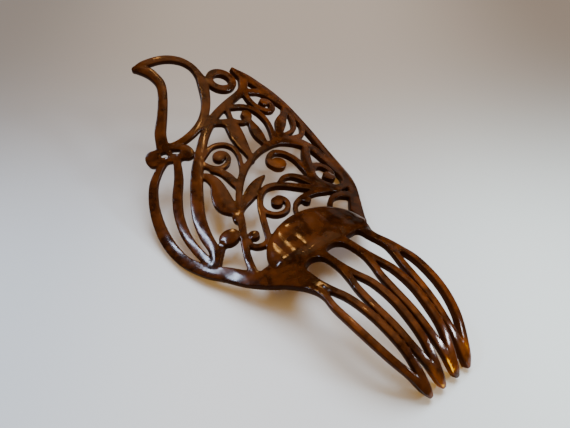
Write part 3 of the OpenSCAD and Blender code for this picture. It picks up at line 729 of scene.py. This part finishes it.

# %% [markdown]
# ## Moulded shell plastic
# The comb is cellulose plastic, moulded and then tumbled to a high polish: a reddish brown so dark that it
# looks black in thick places, and honey coloured where it is thin and light comes through. The colour is
# built in the flat sheet's own millimetres. How much light a place lets through is too local for noise, so
# two tables of soft spots say it: one for honey coloured places, such as the thin tips and the eyes of some
# scrolls, whose colour is partly painted glow and whose strongest spots glow as painted light, and one for
# clear and dense places, which also carry painted sheen and painted shade.

# %% Honey coloured places with painted glow, clear and dense places with painted sheen and shade
# each spot: across, along, radius across, radius along, strength
HONEY_AND_GLOW_SPOTS = [
    # the tips of the four teeth, from left to right, with painted glow and painted glints, such as the
    # narrow bright stripe on the third tooth
    (-10.5, 0.8, 1.4, 1.4, 0.25),
    (-6, 7, 0.9, 3.2, 0.5), (-4.7, 3, 1.2, 2.5, 0.5), (-4, 0.8, 1.2, 1.4, 0.5),
    (2.0, 7.8, 0.36, 2.0, 1.0), (2.3, 4.4, 0.38, 2.1, 1.1), (3.2, 5.5, 0.9, 3.5, 0.2),
    (5.2, 4.5, 1.4, 4, 0.2),
    (10.6, 7, 0.9, 5, 0.3), (13.2, 8, 1.2, 4, 0.6), (11.2, 1, 1.3, 1.5, 0.4),
    # the eyes of three scrolls, and the low side of the loop
    (35, 121.8, 3, 3, 0.06), (14.6, 138.6, 4, 3.5, 0.16), (17.6, 174, 3, 3, 0.1), (-20, 176, 6, 3, 0.1)]

CLEARNESS_AND_LIGHT_SPOTS = [
    # clearer: the teeth, the bands, the top of the right edge, and the fan's left; the lightening here is
    # partly the plastic's clearness and partly painted sheen, as on the fan's left
    (0, 38, 60, 24, 0.5), (13, 24, 11, 22, 0.8), (-22, 38, 8, 20, 0.4), (7, 10, 9, 9, 0.8),
    (-40, 150, 26, 45, 0.35), (39, 178, 9, 16, 0.9), (26, 198, 9, 10, 0.4), (-12, 103, 12, 15, 0.5),
    # denser: the heel's right, the roots of the left teeth, and the foot of the right edge; this darkening
    # is partly painted shade
    (18, 96, 20, 24, -0.5), (-15, 70, 15, 11, -0.6), (38, 116, 9, 16, -0.3)]


def spots_at(points, spots):
    """The soft spots of a table, added up at flat places."""
    across, along = points[:, 0], points[:, 1]
    return sum(strength * np.exp(-((across - x) / wide) ** 2 - ((along - y) / long) ** 2)
               for x, y, wide, long, strength in spots)


def tint(piece, points):
    """Write down at every point of a piece how honey coloured it is, with its painted glow, and how light or
    dark the clearness table makes it, with its painted sheen and shade.
    """
    for name, values in (("honey", np.clip(spots_at(points, HONEY_AND_GLOW_SPOTS), 0, 1)),
                         ("clearness_and_light", 1 + spots_at(points, CLEARNESS_AND_LIGHT_SPOTS))):
        kept = piece.data.attributes.new(name, "FLOAT", "POINT")
        kept.data.foreach_set("value", values.astype(np.float32))


place = np.empty(len(comb.data.vertices) * 3, np.float32)
comb.data.attributes["sheet"].data.foreach_get("vector", place)
tint(comb, place.reshape(-1, 3))
print("Honey spots:", len(HONEY_AND_GLOW_SPOTS), "and clear or dense places:", len(CLEARNESS_AND_LIGHT_SPOTS))

# %% [markdown]
# ## Colour and polish of the plastic
# Imitation tortoiseshell is mottled in patches of about 12 mm, with clouds of about 4 mm in them, so two
# noises are drawn at those sizes. Beside an edge the last millimetre is darkened with painted shade, and the
# walls are given a darker tone as painted shade; the walls were never polished.
# The polish is nearly perfect, with a little haze from handling, a faint ripple from the mould,
# and a small bead where it rounds each edge.

# %% Colour of shell plastic
DARK_PATCH, BROWN_PATCH, CLOUD = "#240f04", "#42200a", "#562c0e"
EDGE_SHADE_TONE, WALL_SHADE_TONE, HONEY_AND_GLOW_TONE = "#1c0c03", "#301606", "#a85a16"
PATCH_SIZE, CLOUD_SIZE = 12, 4


def linear(code):
    """An sRGB hex colour as linear red, green, blue and alpha."""
    parts = [int(code[k:k + 2], 16) / 255 for k in (1, 3, 5)]
    return [c / 12.92 if c <= 0.04045 else ((c + 0.055) / 1.055) ** 2.4 for c in parts] + [1.0]


def shell_colour(tree, sheet, rim_share, wall_share):
    """Mottled brown, with painted shade beside the edges and on the walls, lighter and darker by the
    clearness table with its painted sheen and shade, honey at the spots with painted glow.
    """
    patches = node(tree, "ShaderNodeTexNoise", {
        "Vector": sheet, "Scale": 1 / PATCH_SIZE, "Detail": 3, "Distortion": 0.6})
    patch_share = node(tree, "ShaderNodeMapRange", {
        "Value": patches.outputs["Fac"], "From Min": 0.4, "From Max": 0.64}).outputs["Result"]
    patched = node(tree, "ShaderNodeMix", {
        0: patch_share, 6: linear(DARK_PATCH), 7: linear(BROWN_PATCH)}, data_type="RGBA").outputs[2]
    clouds = node(tree, "ShaderNodeTexNoise", {"Vector": sheet, "Scale": 1 / CLOUD_SIZE, "Detail": 2})
    cloud_share = node(tree, "ShaderNodeMapRange", {
        "Value": clouds.outputs["Fac"], "From Min": 0.45, "From Max": 0.75, "To Max": 0.5}).outputs["Result"]
    mottled = node(tree, "ShaderNodeMix", {
        0: cloud_share, 6: patched, 7: linear(CLOUD)}, data_type="RGBA").outputs[2]
    # painted shade: the colour darkens over the last millimetre beside each edge
    edge_shade_share = node(tree, "ShaderNodeMapRange", {
        "Value": rim_share, "From Min": 0.15, "From Max": 0.85, "To Max": 0.4},
        interpolation_type="SMOOTHSTEP").outputs["Result"]
    edge_shaded = node(tree, "ShaderNodeMix", {
        0: edge_shade_share, 6: mottled, 7: linear(EDGE_SHADE_TONE)}, data_type="RGBA").outputs[2]
    # painted shade: the walls are given a darker tone
    wall_shaded = node(tree, "ShaderNodeMix", {
        0: wall_share, 6: edge_shaded, 7: linear(WALL_SHADE_TONE)}, data_type="RGBA").outputs[2]
    # lighter and darker by the clearness table: partly the plastic's own clear and dense parts, partly
    # painted sheen and painted shade
    clearness_and_light = node(tree, "ShaderNodeAttribute", attribute_name="clearness_and_light").outputs["Fac"]
    cleared_and_lit = node(tree, "ShaderNodeVectorMath", {
        0: wall_shaded, "Scale": clearness_and_light}, operation="SCALE").outputs[0]
    # honey colour at the spots: partly the thin plastic's own colour, partly painted glow and painted glints
    honey_glow_share = node(tree, "ShaderNodeAttribute", attribute_name="honey").outputs["Fac"]
    return node(tree, "ShaderNodeMix", {
        0: honey_glow_share, 6: cleared_and_lit, 7: linear(HONEY_AND_GLOW_TONE)}, data_type="RGBA").outputs[2]


print("Dark patches in linear light:", [round(c, 4) for c in linear(DARK_PATCH)[:3]])

# %% Polish of shell plastic
HAZE_SIZE, RIPPLE_SIZE = 2.5, 1.6
POLISHED, HAZY, CUT_WALL = 0.09, 0.16, 0.22


def shell_polish(tree, sheet, rim_share, wall_share):
    """Roughness, shine and relief of the polish, from its haze, its ripple and its bead."""
    haze = node(tree, "ShaderNodeTexNoise", {"Vector": sheet, "Scale": 1 / HAZE_SIZE, "Detail": 4})
    polish = node(tree, "ShaderNodeMapRange", {
        "Value": haze.outputs["Fac"], "From Min": 0.3, "From Max": 0.7, "To Min": POLISHED, "To Max": HAZY})
    gloss = node(tree, "ShaderNodeMath", {
        0: wall_share, 1: CUT_WALL, 2: polish.outputs["Result"]}, operation="MULTIPLY_ADD").outputs[0]
    shine = node(tree, "ShaderNodeMath", {
        0: wall_share, 1: -0.5, 2: 0.5}, operation="MULTIPLY_ADD").outputs[0]
    ripple = node(tree, "ShaderNodeTexNoise", {"Vector": sheet, "Scale": 1 / RIPPLE_SIZE, "Detail": 2})
    mould = node(tree, "ShaderNodeBump", {
        "Height": ripple.outputs["Fac"], "Strength": 0.06, "Distance": 0.0002})
    bead = node(tree, "ShaderNodeMapRange", {
        "Value": rim_share, "From Min": 0.3, "From Max": 0.6}, interpolation_type="SMOOTHSTEP")
    relief = node(tree, "ShaderNodeBump", {
        "Height": bead.outputs["Result"], "Strength": 0.25, "Distance": 0.0001,
        "Normal": mould.outputs["Normal"]})
    return gloss, shine, relief.outputs["Normal"]


print("Roughness on the faces:", POLISHED, "to", HAZY)

# %% Shell plastic, moulded and polished
# the first colour is painted light: the glow that the brightest tips give off by emission
PAINTED_TIP_GLOW, THROUGH_TIP, THROUGH_SHEET = "#ffc004", "#d9882a", "#dcb97e"


def shell_plastic():
    """Brown cellulose plastic: dark and glossy, with light coming through its thin parts."""
    made = bpy.data.materials.new("moulded_shell_plastic")
    made.use_nodes = True
    tree = made.node_tree
    tree.nodes.clear()
    sheet = node(tree, "ShaderNodeAttribute", attribute_name="sheet").outputs["Vector"]
    rim_share = node(tree, "ShaderNodeAttribute", attribute_name="rim").outputs["Fac"]
    honey_glow_share = node(tree, "ShaderNodeAttribute", attribute_name="honey").outputs["Fac"]
    wall_share = node(tree, "ShaderNodeMapRange", {
        "Value": rim_share, "From Min": 0.68, "From Max": 0.98, "To Max": 0.95},
        interpolation_type="SMOOTHSTEP").outputs["Result"]
    colour = shell_colour(tree, sheet, rim_share, wall_share)
    gloss, shine, relief = shell_polish(tree, sheet, rim_share, wall_share)

    # painted glow: the strongest honey spots shine by emission, as painted light for the light gathered in
    # the thin tips
    painted_glow = node(tree, "ShaderNodeMapRange", {
        "Value": honey_glow_share, "From Min": 0.5, "From Max": 1.0, "To Max": 3.3})
    body = node(tree, "ShaderNodeBsdfPrincipled", {
        "Base Color": colour, "Roughness": gloss, "IOR": 1.5, "Specular IOR Level": shine,
        "Normal": relief, "Subsurface Weight": 0.12,
        "Subsurface Radius": (1.0, 0.4, 0.12), "Subsurface Scale": 0.002,
        "Emission Color": linear(PAINTED_TIP_GLOW), "Emission Strength": painted_glow.outputs["Result"]})

    # light through the thin tips, and the amber light that the sheet lets through onto the table
    glow = node(tree, "ShaderNodeBsdfTranslucent", {"Color": linear(THROUGH_TIP)})
    glow_share = node(tree, "ShaderNodeMath", {0: honey_glow_share, 1: 0.5}, operation="MULTIPLY").outputs[0]
    solid = node(tree, "ShaderNodeMixShader", {0: glow_share, 1: body.outputs[0], 2: glow.outputs[0]})
    amber = node(tree, "ShaderNodeBsdfTransparent", {"Color": linear(THROUGH_SHEET)})
    shadow = node(tree, "ShaderNodeLightPath").outputs["Is Shadow Ray"]
    let_through = node(tree, "ShaderNodeMath", {0: shadow, 1: 0.7}, operation="MULTIPLY").outputs[0]
    whole = node(tree, "ShaderNodeMixShader", {0: let_through, 1: solid.outputs[0], 2: amber.outputs[0]})
    node(tree, "ShaderNodeOutputMaterial", {"Surface": whole.outputs[0]})
    return made


shell = shell_plastic()
comb.data.materials.append(shell)
print("Nodes in the plastic:", len(shell.node_tree.nodes))

# %% The fan, made and bent
holder = bpy.data.objects.new("fan_holder", bpy.data.meshes.new("fan_holder"))
bpy.context.scene.collection.objects.link(holder)
tree = fan_tree(shell)
flutes = holder.modifiers.new("Fluted fan", "NODES")
flutes.node_group = tree
for item in tree.interface.items_tree:
    if item.in_out == "INPUT":
        flutes[item.identifier] = float(FAN_SIZES[item.name])
graph = bpy.context.evaluated_depsgraph_get()
fan_net = bpy.data.meshes.new_from_object(holder.evaluated_get(graph), depsgraph=graph)
bpy.data.objects.remove(holder)

fan_flat = np.array([v.co[:] for v in fan_net.vertices]) + [*FAN_MIDDLE, 0]
fan_faces = [tuple(p.vertices) for p in fan_net.polygons]
fan_low, fan_high = fan_flat[:, 2].min().round(2), fan_flat[:, 2].max().round(2)
print("Fan polygons:", len(fan_faces), "height", fan_low, "to", fan_high)
fan = make_piece("fluted_fan", bend(fan_flat) - ORIGIN, fan_faces, fan_flat, np.zeros(len(fan_flat)))
fan.data.materials.append(shell)
tint(fan, fan_flat)

# %% [markdown]
# ## The table
# The comb lies on a plain pale table, a smooth matt laminate. Its tone carries painted light and shade,
# standing in for two kinds of lamp in one room: cool and light near by, coolest at the near right, and warm
# and darker at the far side. It fades without an edge, and well away from the comb the table returns to one
# pale tone. All lengths here are metres on the table, measured from under the comb.

# %% The table
AWAY, RIGHT = (0.59, 0.807, 0), (0.807, -0.59, 0)
FADE_MIDDLE, FADE_LENGTH = 0.033, 0.07
# painted light near by, and painted shade at the far side
NEAR_LEFT_LIGHT, NEAR_MIDDLE_LIGHT, NEAR_RIGHT_LIGHT = "#c5d1dc", "#dce1e3", "#f0ffff"
FAR_LEFT_SHADE, FAR_MIDDLE_SHADE, FAR_RIGHT_SHADE = "#70685f", "#8f8375", "#6d6154"
PALE_ROOM_TONE = "#cfcbc4"
TABLE_HALF = 3


def table_top():
    """Pale matt laminate, smooth, with painted light and shade: cool and lighter near by, warm and darker
    far away.
    """
    made = bpy.data.materials.new("pale_matt_table")
    made.use_nodes = True
    tree = made.node_tree
    tree.nodes.clear()
    spot = node(tree, "ShaderNodeTexCoord").outputs["Object"]
    away = node(tree, "ShaderNodeVectorMath", {0: spot, 1: AWAY}, operation="DOT_PRODUCT").outputs["Value"]
    side = node(tree, "ShaderNodeVectorMath", {0: spot, 1: RIGHT}, operation="DOT_PRODUCT").outputs["Value"]
    aside = node(tree, "ShaderNodeMath", {0: side}, operation="ABSOLUTE").outputs[0]
    # painted light and shade: lighter and cooler near by, darker and warmer far away
    fade = node(tree, "ShaderNodeMapRange", {
        "Value": away, "From Min": FADE_MIDDLE, "From Max": FADE_MIDDLE + FADE_LENGTH}, clamp=False)
    eased = node(tree, "ShaderNodeMath", {0: fade.outputs["Result"]}, operation="TANH").outputs[0]
    far_shade_share = node(tree, "ShaderNodeMapRange", {"Value": eased, "From Min": -1.0}).outputs["Result"]
    right_share = node(tree, "ShaderNodeMapRange", {
        "Value": side, "From Min": -0.12, "From Max": 0.13},
        interpolation_type="SMOOTHSTEP").outputs["Result"]
    near_side = node(tree, "ShaderNodeMapRange", {
        "Value": aside, "From Min": 0.0, "From Max": 0.12},
        interpolation_type="SMOOTHSTEP").outputs["Result"]
    far_side = node(tree, "ShaderNodeMapRange", {
        "Value": aside, "From Min": 0.05, "From Max": 0.22},
        interpolation_type="SMOOTHSTEP").outputs["Result"]
    near_sides = node(tree, "ShaderNodeMix", {
        0: right_share, 6: linear(NEAR_LEFT_LIGHT), 7: linear(NEAR_RIGHT_LIGHT)}, data_type="RGBA").outputs[2]
    near = node(tree, "ShaderNodeMix", {
        0: near_side, 6: linear(NEAR_MIDDLE_LIGHT), 7: near_sides}, data_type="RGBA").outputs[2]
    far_sides = node(tree, "ShaderNodeMix", {
        0: right_share, 6: linear(FAR_LEFT_SHADE), 7: linear(FAR_RIGHT_SHADE)}, data_type="RGBA").outputs[2]
    far = node(tree, "ShaderNodeMix", {
        0: far_side, 6: linear(FAR_MIDDLE_SHADE), 7: far_sides}, data_type="RGBA").outputs[2]
    lit = node(tree, "ShaderNodeMix", {0: far_shade_share, 6: near, 7: far}, data_type="RGBA").outputs[2]
    distance = node(tree, "ShaderNodeVectorMath", {0: spot}, operation="LENGTH").outputs["Value"]
    beyond = node(tree, "ShaderNodeMapRange", {
        "Value": distance, "From Min": 0.34, "From Max": 0.6},
        interpolation_type="SMOOTHSTEP").outputs["Result"]
    tone = node(tree, "ShaderNodeMix", {
        0: beyond, 6: lit, 7: linear(PALE_ROOM_TONE)}, data_type="RGBA").outputs[2]
    grain = node(tree, "ShaderNodeTexNoise", {"Vector": spot, "Scale": 700, "Detail": 2})
    bump = node(tree, "ShaderNodeBump", {
        "Height": grain.outputs["Fac"], "Strength": 0.08, "Distance": 0.0002})
    body = node(tree, "ShaderNodeBsdfPrincipled", {
        "Base Color": tone, "Roughness": 0.55, "IOR": 1.45, "Normal": bump.outputs["Normal"]})
    node(tree, "ShaderNodeOutputMaterial", {"Surface": body.outputs[0]})
    return made


table_mesh = bpy.data.meshes.new("table")
corners = [(x * TABLE_HALF, y * TABLE_HALF, 0) for x, y in ((-1, -1), (1, -1), (1, 1), (-1, 1))]
table_mesh.from_pydata(corners, [], [(0, 1, 2, 3)])
table_mesh.materials.append(table_top())
table = bpy.data.objects.new("table", table_mesh)
bpy.context.scene.collection.objects.link(table)
table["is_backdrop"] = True
print("Table, m:", [round(side, 2) for side in table.dimensions])

# %% [markdown]
# ## Light
# Polish shows its lamps, so each highlight on the comb tells where a lamp hung. A cool window
# high at the back left lays bluish streaks on the bands. A small warm lamp overhead and another
# over a shelf at the back gild the loop's foot and the fan. A white light near the camera's right
# shines on the teeth, a pale wall on the right edge, and a broad warm ceiling in every face that
# looks up. A broad soft sky from the back right casts the main shadow towards the near left, and
# is kept out of the reflections. The room fills the shadows warmly, and is seen as a pale wall.

# %% Light
# name, direction towards it, distance, width and height in metres, watts, colour
LAMPS = [
    ("window", (-0.27, 0.55, 0.79), 1.4, 0.36, 0.09, 3.8, "#cfe0ff"),
    ("ceiling_lamp", (0.25, 0.17, 0.95), 1.6, 0.06, 0.06, 0.5, "#ffb868"),
    ("shelf_lamp", (0.13, 0.66, 0.74), 1.5, 0.13, 0.12, 1.1, "#ffc070"),
    ("near_light", (0.60, -0.65, 0.47), 1.4, 0.24, 0.14, 7, "#f4f7ff"),
    ("pale_wall", (0.88, 0.36, 0.32), 1.6, 0.9, 0.5, 0.3, "#eceadc"),
    ("warm_ceiling", (0.42, 0.05, 0.90), 1.5, 1.7, 1.0, 2.0, "#ffd8a0"),
    ("soft_sky", (0.45, 0.35, 0.95), 1.5, 1.0, 1.0, 41, "#f2f5ff"),
]


def lamp(name, towards, distance, width, height, power, colour):
    """A rectangular lamp that shines at the comb's middle from a direction."""
    light = bpy.data.lights.new(name, "AREA")
    light.shape = "RECTANGLE"
    light.size = width
    light.size_y = height
    light.energy = power
    light.color = linear(colour)[:3]
    made = bpy.data.objects.new(name, light)
    bpy.context.scene.collection.objects.link(made)
    way = Vector(towards).normalized()
    made.location = way * distance
    made.rotation_euler = way.to_track_quat("Z", "Y").to_euler()
    return made


lamps = {row[0]: lamp(*row) for row in LAMPS}
lamps["soft_sky"].visible_glossy = False
print("Lamps:", ", ".join(lamps))

# %% The room
world = bpy.data.worlds.new("room")
bpy.context.scene.world = world
world.use_nodes = True
world.node_tree.nodes.clear()
warm_room = node(world.node_tree, "ShaderNodeBackground", {"Color": linear("#efd6a6"), "Strength": 0.35})
seen_room = node(world.node_tree, "ShaderNodeBackground", {"Color": linear("#dedad3"), "Strength": 0.8})
seen = node(world.node_tree, "ShaderNodeLightPath").outputs["Is Camera Ray"]
room = node(world.node_tree, "ShaderNodeMixShader", {
    0: seen, 1: warm_room.outputs[0], 2: seen_room.outputs[0]})
node(world.node_tree, "ShaderNodeOutputWorld", {"Surface": room.outputs[0]})
world.cycles_visibility.glossy = False
print("Nodes in the room:", len(world.node_tree.nodes))

# %% [markdown]
# ## Camera
# The camera looks down at about 45 degrees, from beyond the tooth tips and a little to their left.
# Its lens and place were found by matching the comb's own corners, with the arched comb resting
# on its three points.

# %% Camera
AZIMUTH, ELEVATION, ROLL = (math.radians(a) for a in (-36.219, 45.326, -0.472))
DISTANCE = 0.275695
AIM = Vector((0.005454, 0.004145, 0.002063))

backwards = Vector((math.sin(AZIMUTH) * math.cos(ELEVATION), -math.cos(AZIMUTH) * math.cos(ELEVATION),
                    math.sin(ELEVATION)))
level = Vector((math.cos(AZIMUTH), math.sin(AZIMUTH), 0))
upright = backwards.cross(level)
right = math.cos(ROLL) * level + math.sin(ROLL) * upright
up = math.cos(ROLL) * upright - math.sin(ROLL) * level

lens = bpy.data.cameras.new("camera")
lens.sensor_fit = "HORIZONTAL"
lens.sensor_width = 36
lens.lens = 34.90
lens.clip_start = 0.01
camera = bpy.data.objects.new("camera", lens)
bpy.context.scene.collection.objects.link(camera)
facing = Matrix((right, up, backwards)).transposed()
camera.matrix_world = Matrix.LocRotScale(AIM + DISTANCE * backwards, facing, None)
bpy.context.scene.camera = camera
print("Camera at", [round(v, 4) for v in camera.matrix_world.translation])

# %% [markdown]
# ## Hand over
# Both meshes stand for the one solid comb, and ride with it.

# %% Hand over
for piece in (comb, fan):
    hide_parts("comb")
    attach(piece, "root")
